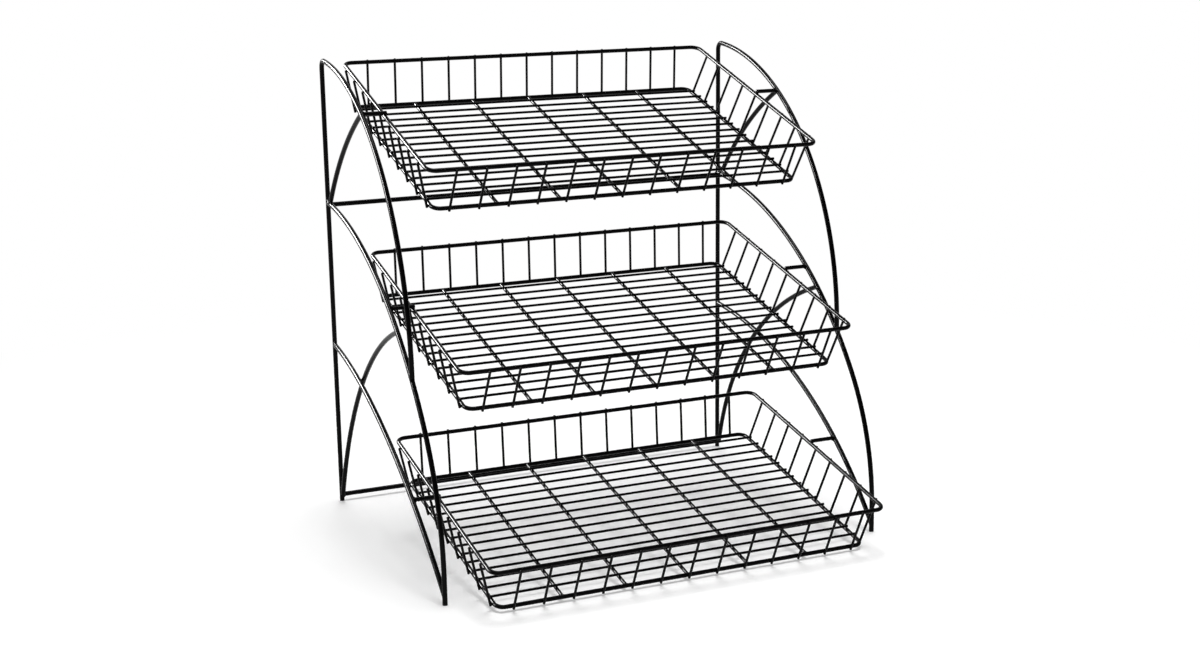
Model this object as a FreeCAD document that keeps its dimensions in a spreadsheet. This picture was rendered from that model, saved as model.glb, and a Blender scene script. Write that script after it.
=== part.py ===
import FreeCAD, Part
import math
import os
import Sketcher

# A free-standing three-tier wire rack for bread and rolls, all welded from round wire.
# Two bent side frames stand on four wire feet. Three shallow wire baskets hang between them
# on short pegs, each one tipped down at the front and set further forward than the one above.
#
# Frame: +X right as seen from the front, +Y to the rear, +Z up. The origin is on the floor
# at the middle of the rack's outline. In the names, "forward" counts from the rear uprights
# towards the front, and every path or place is that of a wire's centre-line.
# Millimetres and degrees.

sizes = {
    # wire diameters
    "frame_wire": 6.35,
    "rim_wire": 5.3,
    "rail_wire": 5.3,
    "rib_wire": 4.6,
    "mesh_wire": 3.25,
    "peg_wire": 5.3,
    # how deep one wire's side is sunk in another's where they cross and are welded
    "weld_sink": 0.12,
    # the two side frames, centre to centre
    "frame_width": 588,
    # rear upright, with the tight bend and the large arc that it runs into
    "top_bend_radius": 10,
    "top_arc_radius": 355.4,
    "top_arc_reach": 337.4,
    "top_arc_height": 252.5,
    # front leg, which bends back over the middle basket to the upright
    "leg_reach": 431.5,
    "leg_straight": 29.3,
    "leg_radius": 297.8,
    "leg_angle": 35.4,
    "shoulder_radius": 519.5,
    # lower arc, from the upright to the foot of the leg
    "lower_arc_rear": 222.8,
    "lower_arc_toe": 10,
    "lower_arc_radius": 661,
    # braces
    "upper_brace_foot": 10,
    "upper_brace_radius": 462.5,
    "lower_brace_foot": 10.2,
    "lower_brace_bite": 0.5,
    "lower_brace_top": 299.5,
    "lower_brace_radius": 430.5,
    # bars between the two uprights: the upper one's drop below the front leg's end, and the
    # lower one's height above the floor
    "upper_crossbar_drop": 3,
    "lower_crossbar_height": 9,
    # pegs: height on the side frame, and distance ahead of the basket's middle
    "top_peg_height": 552.3,
    "top_peg_ahead": 9,
    "middle_peg_height": 322.5,
    "middle_peg_ahead": 1.8,
    "bottom_peg_height": 100,
    "bottom_peg_ahead": -6.5,
    "peg_overhang": 1.2,
    # how far each basket is tipped down at the front
    "top_tilt": 17,
    "middle_tilt": 14,
    "bottom_tilt": 11.3,
    # basket, and the gap on each side between its rim and the side frame
    "side_gap": 31,
    "rim_depth": 352,
    "rim_corner_radius": 12,
    "rail_corner_radius": 11,
    "basket_height": 57,
    "basket_flare": 15,
    # rows of wires in the basket
    "long_wall_count": 13,
    "long_wall_margin": 8.4,
    "long_wall_top_end": 2.4,
    "long_wall_bottom_end": 1.2,
    "short_wall_count": 9,
    "short_wall_margin": 0.4,
    "short_wall_top_end": 1.0,
    "short_wall_bottom_end": 1.6,
    "floor_wire_count": 15,
    "floor_wire_overhang": 1.5,
    "rib_count": 5,
}

doc = FreeCAD.newDocument("BreadRack")
sheet = doc.addObject("Spreadsheet::Sheet", "Sizes")
for row, (name, value) in enumerate(sizes.items(), start=1):
    sheet.set(f"A{row}", name)
    sheet.set(f"B{row}", str(value))
    sheet.setAlias(f"B{row}", name)
doc.recompute()

# Places worked out from the sizes. Each is an expression over the sheet.
places = doc.addObject("App::VarSet", "Places")
upright = "rotation(vector(0; 0; 1); 0)"


def add_place(name, expression, kind="App::PropertyFloat"):
    places.addProperty(kind, name, "Places")
    places.setExpression(name, expression)


def on_circle(forward, centre, radius, height):
    """Forward place of a circle's front side at a height."""
    return f"{forward} + sqrt({radius}^2 - ({height} - {centre})^2)"


# Centres of the top arc and of the front leg's shoulder arc.
add_place("top_forward", "Sizes.top_arc_reach - Sizes.top_arc_radius")
add_place(
    "shoulder_forward",
    "Sizes.leg_reach - Sizes.leg_radius"
    " - (Sizes.shoulder_radius - Sizes.leg_radius) * cos(Sizes.leg_angle)",
)
add_place(
    "shoulder_height",
    "Sizes.leg_straight - (Sizes.shoulder_radius - Sizes.leg_radius) * sin(Sizes.leg_angle)",
)
top_arc = ("Places.top_forward", "Sizes.top_arc_height", "Sizes.top_arc_radius")
shoulder = ("Places.shoulder_forward", "Places.shoulder_height", "Sizes.shoulder_radius")
lower_arc = ("Places.lower_arc_forward", "Places.lower_arc_height", "Sizes.lower_arc_radius")


def add_arc_places(name, first, last):
    """Centre, first angle and sweep of an arc between two ends, each a forward place and a
    height. Its radius is in the sheet."""
    radius = f"Sizes.{name}_radius"
    chord = f"Places.{name}_chord"
    depth = f"Places.{name}_depth"
    run = f"({last[0]} - {first[0]})"
    rise = f"({last[1]} - {first[1]})"
    add_place(f"{name}_chord", f"sqrt({run}^2 + {rise}^2)")
    add_place(f"{name}_depth", f"sqrt({radius}^2 - {chord}^2 / 4)")
    add_place(f"{name}_forward", f"{first[0]} + {run} / 2 + {depth} * {rise} / {chord}")
    add_place(f"{name}_height", f"{first[1]} + {rise} / 2 - {depth} * {run} / {chord}")
    add_place(
        f"{name}_start",
        f"atan2({first[1]} - Places.{name}_height; Places.{name}_forward - {first[0]})",
        "App::PropertyAngle",
    )
    add_place(f"{name}_sweep", f"2 * asin({chord} / 2 / {radius})", "App::PropertyAngle")


def from_chord(point, name):
    """Distance of a point in the side frame from the line between an arc's two ends."""
    first, last = arc_ends[name]
    run = f"({last[0]} - {first[0]})"
    rise = f"({last[1]} - {first[1]})"
    aside = f"{run} * ({point[1]} - {first[1]}) - {rise} * ({point[0]} - {first[0]})"
    return f"(abs({aside}) / Places.{name}_chord)"


# The lower arc runs from the upright to the foot of the front leg. The upper brace stands on
# the front leg's wire close to the upright and ends at the top peg. The lower brace lies
# against the upright's front near the floor and ends on the front leg's shoulder.
add_place("top_peg_forward", on_circle(*top_arc, "Sizes.top_peg_height"))
add_place("middle_peg_forward", on_circle(*shoulder, "Sizes.middle_peg_height"))
add_place(
    "upper_brace_foot_height",
    "Places.shoulder_height"
    " + sqrt(Sizes.shoulder_radius^2 - (Sizes.upper_brace_foot - Places.shoulder_forward)^2)",
)
add_place("lower_brace_foot_forward", "Sizes.frame_wire - Sizes.lower_brace_bite")
add_place("lower_brace_top_forward", on_circle(*shoulder, "Sizes.lower_brace_top"))
arc_ends = {
    "lower_arc": (
        ("0", "Sizes.lower_arc_rear"),
        ("Sizes.leg_reach", "Sizes.lower_arc_toe"),
    ),
    "upper_brace": (
        ("Sizes.upper_brace_foot", "Places.upper_brace_foot_height"),
        ("Places.top_peg_forward", "Sizes.top_peg_height"),
    ),
    "lower_brace": (
        ("Places.lower_brace_foot_forward", "Sizes.lower_brace_foot"),
        ("Places.lower_brace_top_forward", "Sizes.lower_brace_top"),
    ),
}
for name, ends in arc_ends.items():
    add_arc_places(name, *ends)
add_place("bottom_peg_forward", on_circle(*lower_arc, "Sizes.bottom_peg_height"))

# The lower arc and the lower brace cross half way. Each is leaned about the line between its
# own ends, the arc outwards and the brace inwards, so that they lie against each other there
# and both still end in the side frame's plane. The crossing point is that of two circles.
gap_forward = "(Places.lower_brace_forward - Places.lower_arc_forward)"
gap_height = "(Places.lower_brace_height - Places.lower_arc_height)"
add_place("centre_gap", f"sqrt({gap_forward}^2 + {gap_height}^2)")
add_place(
    "cross_along",
    "(Sizes.lower_arc_radius^2 - Sizes.lower_brace_radius^2 + Places.centre_gap^2)"
    " / (2 * Places.centre_gap)",
)
add_place("cross_aside", "sqrt(Sizes.lower_arc_radius^2 - Places.cross_along^2)")
add_place(
    "cross_forward",
    f"Places.lower_arc_forward + (Places.cross_along * {gap_forward}"
    f" - Places.cross_aside * {gap_height}) / Places.centre_gap",
)
add_place(
    "cross_height",
    f"Places.lower_arc_height + (Places.cross_along * {gap_height}"
    f" + Places.cross_aside * {gap_forward}) / Places.centre_gap",
)
crossing = ("Places.cross_forward", "Places.cross_height")
for name in ("lower_arc", "lower_brace"):
    add_place(
        f"{name}_lean",
        f"asin((Sizes.frame_wire - Sizes.weld_sink) / 2 / {from_chord(crossing, name)})",
        "App::PropertyAngle",
    )

# The bottom peg is longer by what the leaned arc stands outwards there.
bottom_peg = ("Places.bottom_peg_forward", "Sizes.bottom_peg_height")
add_place(
    "bottom_peg_out", f"sin(Places.lower_arc_lean) * {from_chord(bottom_peg, 'lower_arc')}"
)

# The upper crossbar meets the uprights just below the ends of the front legs.
add_place(
    "upper_crossbar_height",
    "Places.shoulder_height + sqrt(Sizes.shoulder_radius^2 - Places.shoulder_forward^2)"
    " - Sizes.upper_crossbar_drop",
)
add_place("lower_crossbar_height", "Sizes.lower_crossbar_height")

# Basket: the rim between the side frames, the rail under it, the walls' slope, and the
# wires' distances from each other.
add_place("rim_width", "Sizes.frame_width - 2 * Sizes.side_gap")
add_place("rail_width", "Places.rim_width - 2 * Sizes.basket_flare")
add_place("rail_depth", "Sizes.rim_depth - 2 * Sizes.basket_flare")
add_place(
    "wall_slope", "atan(Sizes.basket_flare / Sizes.basket_height)", "App::PropertyAngle"
)
add_place("wall_length", "sqrt(Sizes.basket_flare^2 + Sizes.basket_height^2)")
add_place(
    "wall_stand_off",
    "(max(Sizes.rim_wire; Sizes.rail_wire) + Sizes.mesh_wire) / 2 - Sizes.weld_sink",
)
for wall in ("long_wall", "short_wall"):
    add_place(
        f"{wall}_wire_length",
        f"Places.wall_length + Sizes.{wall}_top_end + Sizes.{wall}_bottom_end",
    )
add_place(
    "floor_height",
    "(Sizes.rail_wire + Sizes.mesh_wire) / 2 - Sizes.weld_sink - Sizes.basket_height",
)
add_place(
    "rib_height",
    "Places.floor_height - (Sizes.mesh_wire + Sizes.rib_wire) / 2 + Sizes.weld_sink",
)
add_place("peg_rise", "(Sizes.rim_wire + Sizes.peg_wire) / 2 - Sizes.weld_sink")

# Middle of each basket's rim, ahead of the uprights and above the floor. The peg lies
# across the top of the rim's side wires.
for tier in ("top", "middle", "bottom"):
    add_place(
        f"{tier}_forward_place",
        f"Places.{tier}_peg_forward - Sizes.{tier}_peg_ahead * cos(Sizes.{tier}_tilt)"
        f" - Places.peg_rise * sin(Sizes.{tier}_tilt)",
    )
    add_place(
        f"{tier}_height",
        f"Sizes.{tier}_peg_height + Sizes.{tier}_peg_ahead * sin(Sizes.{tier}_tilt)"
        f" - Places.peg_rise * cos(Sizes.{tier}_tilt)",
    )

# The outline runs from the top ends of the bottom basket's front wires to the back wires of
# the top basket, whichever of their ends is further back. The uprights stand behind its
# middle by rear_y.
add_place(
    "front_edge",
    "Places.bottom_forward_place + Sizes.rim_depth / 2 * cos(Sizes.bottom_tilt)"
    " + (Places.wall_stand_off + Sizes.mesh_wire / 2)"
    " * cos(Places.wall_slope + Sizes.bottom_tilt * 1 deg)"
    " + Sizes.long_wall_top_end * sin(Places.wall_slope + Sizes.bottom_tilt * 1 deg)",
)
add_place("back_lean", "Places.wall_slope - Sizes.top_tilt * 1 deg", "App::PropertyAngle")
add_place(
    "back_edge",
    "max(Sizes.rim_depth / 2 * cos(Sizes.top_tilt)"
    " + Sizes.long_wall_top_end * sin(Places.back_lean);"
    " Places.rail_depth / 2 * cos(Sizes.top_tilt) + Sizes.basket_height * sin(Sizes.top_tilt)"
    " - Sizes.long_wall_bottom_end * sin(Places.back_lean))"
    " + (Places.wall_stand_off + Sizes.mesh_wire / 2) * cos(Places.back_lean)"
    " - Places.top_forward_place",
)
add_place("rear_y", "(Places.front_edge - Places.back_edge) / 2")
for tier in ("top", "middle", "bottom"):
    add_place(
        f"{tier}_basket",
        f"placement(vector(0; Places.rear_y - Places.{tier}_forward_place;"
        f" Places.{tier}_height); rotation(vector(1; 0; 0); Sizes.{tier}_tilt))",
        "App::PropertyPlacement",
    )
doc.recompute()

subparts = []


def number(expression):
    """Value of an expression, for the first shape of a sketch before it is solved."""
    value = places.evalExpression(expression)
    return getattr(value, "Value", value)


def add_subpart(kind, label, place):
    piece = doc.addObject(kind, label)
    piece.Label = label
    piece.setExpression("Placement", place)
    subparts.append(piece)
    return piece


def add_sketch(body, role, name):
    plane = next(item for item in body.Origin.OriginFeatures if item.Role == role)
    sketch = body.newObject("Sketcher::SketchObject", name)
    sketch.AttachmentSupport = (plane, [""])
    sketch.MapMode = "FlatFace"
    return sketch


def bind(sketch, name, expression, kind, *geometry):
    """Add a dimension to a sketch, named and tied to an expression."""
    index = sketch.addConstraint(Sketcher.Constraint(kind, *geometry, number(expression)))
    sketch.renameConstraint(index, name)
    sketch.setExpression(f"Constraints.{name}", expression)


def arc_of(centre_x, centre_y, radius, first, last):
    circle = Part.Circle(FreeCAD.Vector(centre_x, centre_y, 0), FreeCAD.Vector(0, 0, 1), radius)
    return Part.ArcOfCircle(circle, first, last)


def line_of(start_x, start_y, end_x, end_y):
    return Part.LineSegment(
        FreeCAD.Vector(start_x, start_y, 0), FreeCAD.Vector(end_x, end_y, 0)
    )


def circle_of(centre_x, centre_y, radius):
    return Part.Circle(FreeCAD.Vector(centre_x, centre_y, 0), FreeCAD.Vector(0, 0, 1), radius)


def sweep_wire(body, path, role, diameter, ahead=None):
    """Carry a round section along the path. ahead is the section's place on the sketch's
    first axis, or nothing where the path starts at the origin."""
    section = add_sketch(body, role, f"{body.Label}_section")
    section.addGeometry(circle_of(number(ahead) if ahead else 0, 0, number(diameter) / 2))
    bind(section, "wire", diameter, "Diameter", 0)
    if ahead:
        section.addConstraint(Sketcher.Constraint("PointOnObject", 0, 3, -1))
        bind(section, "ahead", ahead, "DistanceX", -1, 1, 0, 3)
    else:
        section.addConstraint(Sketcher.Constraint("Coincident", 0, 3, -1, 1))
    pipe = body.newObject("PartDesign::AdditivePipe", f"{body.Label}_wire")
    pipe.Profile = section
    pipe.Spine = (path, [])


def frame_place(side, forward="0"):
    return (
        f"placement(vector({side} * Sizes.frame_width / 2; Places.rear_y - {forward}; 0);"
        f" {upright})"
    )


def add_upright_and_top_arc(label, side):
    """One wire: straight up from the rear foot, a tight bend forward, then a large arc
    down to the shoulder of the front leg. Its lower end stops on that wire's centre-line."""
    body = add_subpart("PartDesign::Body", label, frame_place(side))
    path = add_sketch(body, "YZ_Plane", f"{label}_path")
    bend = number("Sizes.top_bend_radius")
    arc = number("Sizes.top_arc_radius")
    centre_y = -number("Places.top_forward")
    centre_z = number("Sizes.top_arc_height")
    bend_z = centre_z + math.sqrt((arc - bend) ** 2 - (centre_y + bend) ** 2)
    turn = math.atan2(bend_z - centre_z, -bend - centre_y)
    path.addGeometry(line_of(0, 0, 0, bend_z))
    path.addGeometry(arc_of(-bend, bend_z, bend, 0, turn))
    path.addGeometry(arc_of(centre_y, centre_z, arc, turn, math.pi))
    shoulder_y = -number("Places.shoulder_forward")
    shoulder_z = number("Places.shoulder_height")
    path.addGeometry(circle_of(shoulder_y, shoulder_z, number("Sizes.shoulder_radius")), True)
    path.addConstraint(Sketcher.Constraint("Coincident", 0, 1, -1, 1))
    path.addConstraint(Sketcher.Constraint("Vertical", 0))
    path.addConstraint(Sketcher.Constraint("Tangent", 0, 2, 1, 1))
    path.addConstraint(Sketcher.Constraint("Tangent", 1, 2, 2, 1))
    bind(path, "bend", "Sizes.top_bend_radius", "Radius", 1)
    bind(path, "arc", "Sizes.top_arc_radius", "Radius", 2)
    bind(path, "centre_y", "0 - Places.top_forward", "DistanceX", -1, 1, 2, 3)
    bind(path, "centre_z", "Sizes.top_arc_height", "DistanceY", -1, 1, 2, 3)
    bind(path, "shoulder", "Sizes.shoulder_radius", "Radius", 3)
    bind(path, "shoulder_y", "0 - Places.shoulder_forward", "DistanceX", -1, 1, 3, 3)
    bind(path, "shoulder_z", "Places.shoulder_height", "DistanceY", -1, 1, 3, 3)
    path.addConstraint(Sketcher.Constraint("PointOnObject", 2, 2, 3))
    sweep_wire(body, path, "XY_Plane", "Sizes.frame_wire")


def add_front_leg(label, side):
    """One wire: a short straight foot, a bend back, then a flatter arc over the middle
    basket that stops on the upright's centre-line. Drawn from the foot."""
    body = add_subpart("PartDesign::Body", label, frame_place(side, "Sizes.leg_reach"))
    path = add_sketch(body, "YZ_Plane", f"{label}_path")
    reach = number("Sizes.leg_reach")
    straight = number("Sizes.leg_straight")
    leg = number("Sizes.leg_radius")
    arc = number("Sizes.shoulder_radius")
    centre_y = reach - number("Places.shoulder_forward")
    centre_z = number("Places.shoulder_height")
    change = math.pi - math.radians(number("Sizes.leg_angle"))
    path.addGeometry(line_of(0, 0, 0, straight))
    path.addGeometry(arc_of(leg, straight, leg, change, math.pi))
    last = math.acos((reach - centre_y) / arc)
    path.addGeometry(arc_of(centre_y, centre_z, arc, last, change))
    path.addConstraint(Sketcher.Constraint("Coincident", 0, 1, -1, 1))
    path.addConstraint(Sketcher.Constraint("Vertical", 0))
    path.addConstraint(Sketcher.Constraint("Tangent", 0, 2, 1, 2))
    path.addConstraint(Sketcher.Constraint("Tangent", 1, 1, 2, 2))
    bind(path, "straight", "Sizes.leg_straight", "DistanceY", 0, 1, 0, 2)
    bind(path, "bend", "Sizes.leg_radius", "Radius", 1)
    bind(path, "arc", "Sizes.shoulder_radius", "Radius", 2)
    bind(
        path, "centre_y", "Sizes.leg_reach - Places.shoulder_forward", "DistanceX", -1, 1, 2, 3
    )
    bind(path, "upright", "Sizes.leg_reach", "DistanceX", -1, 1, 2, 1)
    sweep_wire(body, path, "XY_Plane", "Sizes.frame_wire")


def add_arc_wire(label, side, name, lean="0"):
    """A wire bent to one arc between its two ends. The start and sweep angles turn from the
    rear upwards. lean turns the arc about the line between its ends."""
    first, last = arc_ends[name]
    chord = f"vector(0; {first[0]} - {last[0]}; {last[1]} - {first[1]})"
    wire = add_subpart(
        "Part::Torus",
        label,
        f"placement(vector({side} * Sizes.frame_width / 2; Places.rear_y - {first[0]};"
        f" {first[1]}); rotation({chord}; {lean}))"
        f" * placement(vector(0; {first[0]} - Places.{name}_forward;"
        f" Places.{name}_height - {first[1]}); rotation(vector(1; 1; 1); 120)"
        f" * rotation(vector(0; 0; 1); Places.{name}_start))",
    )
    wire.setExpression("Radius1", f"Sizes.{name}_radius")
    wire.setExpression("Radius2", "Sizes.frame_wire / 2")
    wire.setExpression("Angle3", f"Places.{name}_sweep")


def add_bar(label, left_end, forward, height, length, diameter):
    """A straight round bar along X, from its left end."""
    bar = add_subpart(
        "Part::Cylinder",
        label,
        f"placement(vector({left_end}; Places.rear_y - {forward}; {height});"
        " rotation(vector(0; 1; 0); 90))",
    )
    bar.setExpression("Radius", f"{diameter} / 2")
    bar.setExpression("Height", length)


def add_side_frame(name, side):
    add_upright_and_top_arc(f"{name}_upright_and_top_arc", side)
    add_front_leg(f"{name}_front_leg", side)
    outwards = f"{-side} * Places.lower_arc_lean"
    inwards = f"{side} * Places.lower_brace_lean"
    add_arc_wire(f"{name}_lower_arc", side, "lower_arc", outwards)
    add_arc_wire(f"{name}_upper_brace", side, "upper_brace")
    add_arc_wire(f"{name}_lower_brace", side, "lower_brace", inwards)
    for tier, out in (("top", "0"), ("middle", "0"), ("bottom", "Places.bottom_peg_out")):
        length = f"(Sizes.side_gap + {out} + Sizes.peg_overhang)"
        left_end = f"0 - Sizes.frame_width / 2 - {out}"
        if side > 0:
            left_end = "Places.rim_width / 2 - Sizes.peg_overhang"
        add_bar(
            f"{name}_{tier}_peg",
            left_end,
            f"Places.{tier}_peg_forward",
            f"Sizes.{tier}_peg_height",
            length,
            "Sizes.peg_wire",
        )


def add_wire_ring(label, place, width, depth, corner, diameter):
    """A rounded rectangle of wire about its own middle, closed behind. The path starts in
    the middle of the rear wire and runs anticlockwise."""
    body = add_subpart("PartDesign::Body", label, place)
    path = add_sketch(body, "XY_Plane", f"{label}_path")
    side = number(width) / 2
    rear = number(depth) / 2
    bend = number(corner)
    inner_x = side - bend
    inner_y = rear - bend
    quarter = math.pi / 2
    path.addGeometry(line_of(0, rear, -inner_x, rear))
    path.addGeometry(arc_of(-inner_x, inner_y, bend, quarter, 2 * quarter))
    path.addGeometry(line_of(-side, inner_y, -side, -inner_y))
    path.addGeometry(arc_of(-inner_x, -inner_y, bend, 2 * quarter, 3 * quarter))
    path.addGeometry(line_of(-inner_x, -rear, inner_x, -rear))
    path.addGeometry(arc_of(inner_x, -inner_y, bend, 3 * quarter, 4 * quarter))
    path.addGeometry(line_of(side, -inner_y, side, inner_y))
    path.addGeometry(arc_of(inner_x, inner_y, bend, 0, quarter))
    path.addGeometry(line_of(inner_x, rear, 0, rear))
    for piece in range(8):
        path.addConstraint(Sketcher.Constraint("Tangent", piece, 2, piece + 1, 1))
    path.addConstraint(Sketcher.Constraint("Coincident", 8, 2, 0, 1))
    path.addConstraint(Sketcher.Constraint("PointOnObject", 0, 1, -2))
    path.addConstraint(Sketcher.Constraint("Symmetric", 4, 1, 4, 2, -2))
    for piece in (0, 8):
        path.addConstraint(Sketcher.Constraint("Horizontal", piece))
    for piece in (2, 6):
        path.addConstraint(Sketcher.Constraint("Vertical", piece))
    for piece in (3, 5, 7):
        path.addConstraint(Sketcher.Constraint("Equal", 1, piece))
    bind(path, "corner", corner, "Radius", 1)
    bind(path, "width", width, "DistanceX", 2, 1, 6, 1)
    bind(path, "depth", depth, "DistanceY", 4, 1, 0, 1)
    bind(path, "rear", f"{depth} / 2", "DistanceY", -1, 1, 0, 1)
    sweep_wire(body, path, "YZ_Plane", diameter, f"{depth} / 2")


def add_wire_row(label, place, diameter, length, count, pitch):
    """Straight wires along the body's Z, in a row along its X, centred on it."""
    body = add_subpart("PartDesign::Body", label, place)
    body.AllowCompound = True
    section = add_sketch(body, "XY_Plane", f"{label}_section")
    half_row = f"({count} - 1) * {pitch} / 2"
    section.addGeometry(circle_of(-number(half_row), 0, number(diameter) / 2))
    section.addConstraint(Sketcher.Constraint("PointOnObject", 0, 3, -1))
    bind(section, "half_row", half_row, "DistanceX", 0, 3, -1, 1)
    bind(section, "wire", diameter, "Diameter", 0)
    wire = body.newObject("PartDesign::Pad", f"{label}_wire")
    wire.Profile = section
    wire.setExpression("Length", length)
    row = body.newObject("PartDesign::LinearPattern", f"{label}_row")
    row.Originals = [wire]
    row.Direction = (section, ["H_Axis"])
    row.setExpression("Length", f"({count} - 1) * {pitch}")
    row.setExpression("Occurrences", count)
    body.Tip = row


def add_wall(label, basket, turn, wall, reach, count, pitch):
    """A row of wires welded to the outside of the rail and the rim. turn is how far the
    wall's outward direction is turned from the rear, wall what the names of its sizes begin
    with, and reach the rail's place on it."""
    add_wire_row(
        label,
        f"{basket} * placement(vector(0; 0; 0 - Sizes.basket_height);"
        f" rotation(vector(0; 0; 1); {turn}))"
        f" * placement(vector(0; {reach}; 0); rotation(vector(1; 0; 0); -Places.wall_slope))"
        f" * placement(vector(0; Places.wall_stand_off; 0 - Sizes.{wall}_bottom_end); {upright})",
        "Sizes.mesh_wire",
        f"Places.{wall}_wire_length",
        count,
        pitch,
    )


def add_basket(name):
    basket = f"Places.{name}"
    rail = ("Places.rail_width", "Places.rail_depth", "Sizes.rail_corner_radius")
    add_wire_ring(
        f"{name}_rim",
        basket,
        "Places.rim_width",
        "Sizes.rim_depth",
        "Sizes.rim_corner_radius",
        "Sizes.rim_wire",
    )
    add_wire_ring(
        f"{name}_bottom_rail",
        f"{basket} * placement(vector(0; 0; 0 - Sizes.basket_height); {upright})",
        *rail,
        "Sizes.rail_wire",
    )
    # Thin wires from side to side lie on the rail. Ribs from front to rear carry them from
    # below, with their ends welded in between the rail's front and rear wires.
    floor_length = "(Places.rail_width + 2 * Sizes.floor_wire_overhang)"
    add_wire_row(
        f"{name}_floor_wires",
        f"{basket} * placement(vector(0 - {floor_length} / 2; 0; Places.floor_height);"
        " rotation(vector(1; 1; 1); 120))",
        "Sizes.mesh_wire",
        floor_length,
        "Sizes.floor_wire_count",
        "Places.rail_depth / (Sizes.floor_wire_count + 1)",
    )
    add_wire_row(
        f"{name}_ribs",
        f"{basket} * placement(vector(0; 0 - Places.rail_depth / 2; Places.rib_height);"
        " rotation(vector(1; 0; 0); -90))",
        "Sizes.rib_wire",
        "Places.rail_depth",
        "Sizes.rib_count",
        "Places.rail_width / (Sizes.rib_count + 1)",
    )
    long_row = (
        "long_wall",
        "Places.rail_depth / 2",
        "Sizes.long_wall_count",
        "(Places.rail_width / 2 - Sizes.rail_corner_radius - Sizes.long_wall_margin)"
        " * 2 / (Sizes.long_wall_count - 1)",
    )
    short_row = (
        "short_wall",
        "Places.rail_width / 2",
        "Sizes.short_wall_count",
        "(Places.rail_depth / 2 - Sizes.rail_corner_radius - Sizes.short_wall_margin)"
        " * 2 / (Sizes.short_wall_count - 1)",
    )
    add_wall(f"{name}_back_wall", basket, 0, *long_row)
    add_wall(f"{name}_front_wall", basket, 180, *long_row)
    add_wall(f"{name}_left_wall", basket, 90, *short_row)
    add_wall(f"{name}_right_wall", basket, -90, *short_row)


add_side_frame("left", -1)
add_side_frame("right", 1)
for name in ("upper_crossbar", "lower_crossbar"):
    add_bar(
        name,
        "0 - Sizes.frame_width / 2",
        "0",
        f"Places.{name}_height",
        "Sizes.frame_width",
        "Sizes.frame_wire",
    )
for tier in ("top", "middle", "bottom"):
    add_basket(f"{tier}_basket")
doc.recompute()

for item in doc.Objects:
    if "Invalid" in item.State or "Error" in item.State:
        raise RuntimeError(f"{item.Label} failed: {item.State}")
for piece in subparts:
    if piece.Shape.isNull() or not piece.Shape.isValid():
        raise RuntimeError(f"{piece.Label} has no valid shape")

os.makedirs("parts", exist_ok=True)
for piece in subparts:
    piece.Shape.exportStep(f"parts/{piece.Label}.step")
    solids = len(piece.Shape.Solids)
    print(f"{piece.Label}: {solids} solids, {piece.Shape.Volume:.1f} mm3")
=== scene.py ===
from collections import namedtuple
import math

import bpy
import numpy as np
from mathutils import Matrix, Vector


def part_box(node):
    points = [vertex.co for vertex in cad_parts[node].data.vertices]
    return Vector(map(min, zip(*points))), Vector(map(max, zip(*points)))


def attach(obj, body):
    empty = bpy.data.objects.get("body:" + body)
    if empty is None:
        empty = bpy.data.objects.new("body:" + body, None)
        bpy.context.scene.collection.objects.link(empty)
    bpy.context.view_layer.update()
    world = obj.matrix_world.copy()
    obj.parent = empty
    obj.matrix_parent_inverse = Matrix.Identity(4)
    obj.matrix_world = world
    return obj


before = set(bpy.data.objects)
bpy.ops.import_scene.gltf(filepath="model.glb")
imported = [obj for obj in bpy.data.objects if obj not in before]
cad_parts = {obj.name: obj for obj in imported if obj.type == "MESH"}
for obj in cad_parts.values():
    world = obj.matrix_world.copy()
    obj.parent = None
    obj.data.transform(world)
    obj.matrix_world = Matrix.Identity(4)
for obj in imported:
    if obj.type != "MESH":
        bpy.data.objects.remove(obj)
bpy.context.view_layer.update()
print("frame loaded:", len(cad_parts), "nodes")

cameraSetup = {
    "place": (-0.92658, -2.06441, 0.78793),
    "right": (0.91266, -0.40852, -0.01252),
    "up": (0.10443, 0.20348, 0.97349),
    "back": (-0.39515, -0.88978, 0.22837),
    "lens": 53.685,     # mm
    "sensor": 36.0,     # its width, mm
    "farEnd": 60.0,     # of what it can see, m
}


def addToScene(name, data):
    thing = bpy.data.objects.new(name, data)
    bpy.context.scene.collection.objects.link(thing)
    return thing


def addCamera(setup):
    data = bpy.data.cameras.new("rackCamera")
    data.sensor_fit = "HORIZONTAL"
    data.sensor_width = setup["sensor"]
    data.lens = setup["lens"]
    data.clip_end = setup["farEnd"]
    camera = addToScene("rackCamera", data)
    turn = Matrix((setup["right"], setup["up"], setup["back"])).transposed()
    turn = turn.to_quaternion().to_matrix().to_4x4()
    camera.matrix_world = Matrix.Translation(setup["place"]) @ turn
    bpy.context.scene.camera = camera


addCamera(cameraSetup)
bpy.context.scene.view_settings.view_transform = "Standard"
print("camera placed")


# An empty shader tree for a material or the world.
def emptyTree(owner):
    owner.use_nodes = True
    owner.node_tree.nodes.clear()
    return owner.node_tree


# One shader node. Its settings come first, because they decide which inputs it has.
# An input is a number, a colour of three numbers or another node's output.
def addNode(tree, kind, inputs=None, **settings):
    node = tree.nodes.new("ShaderNode" + kind)
    for name, value in settings.items():
        setattr(node, name, value)
    for name, value in (inputs or {}).items():
        if isinstance(value, bpy.types.NodeSocket):
            tree.links.new(value, node.inputs[name])
        elif isinstance(value, tuple):
            node.inputs[name].default_value = (*value, 1.0)
        else:
            node.inputs[name].default_value = value
    return node


def noiseOf(tree, place, size, detail, rough):
    inputs = {"Vector": place, "Scale": size, "Detail": detail, "Roughness": rough}
    return addNode(tree, "TexNoise", inputs).outputs["Fac"]


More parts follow.
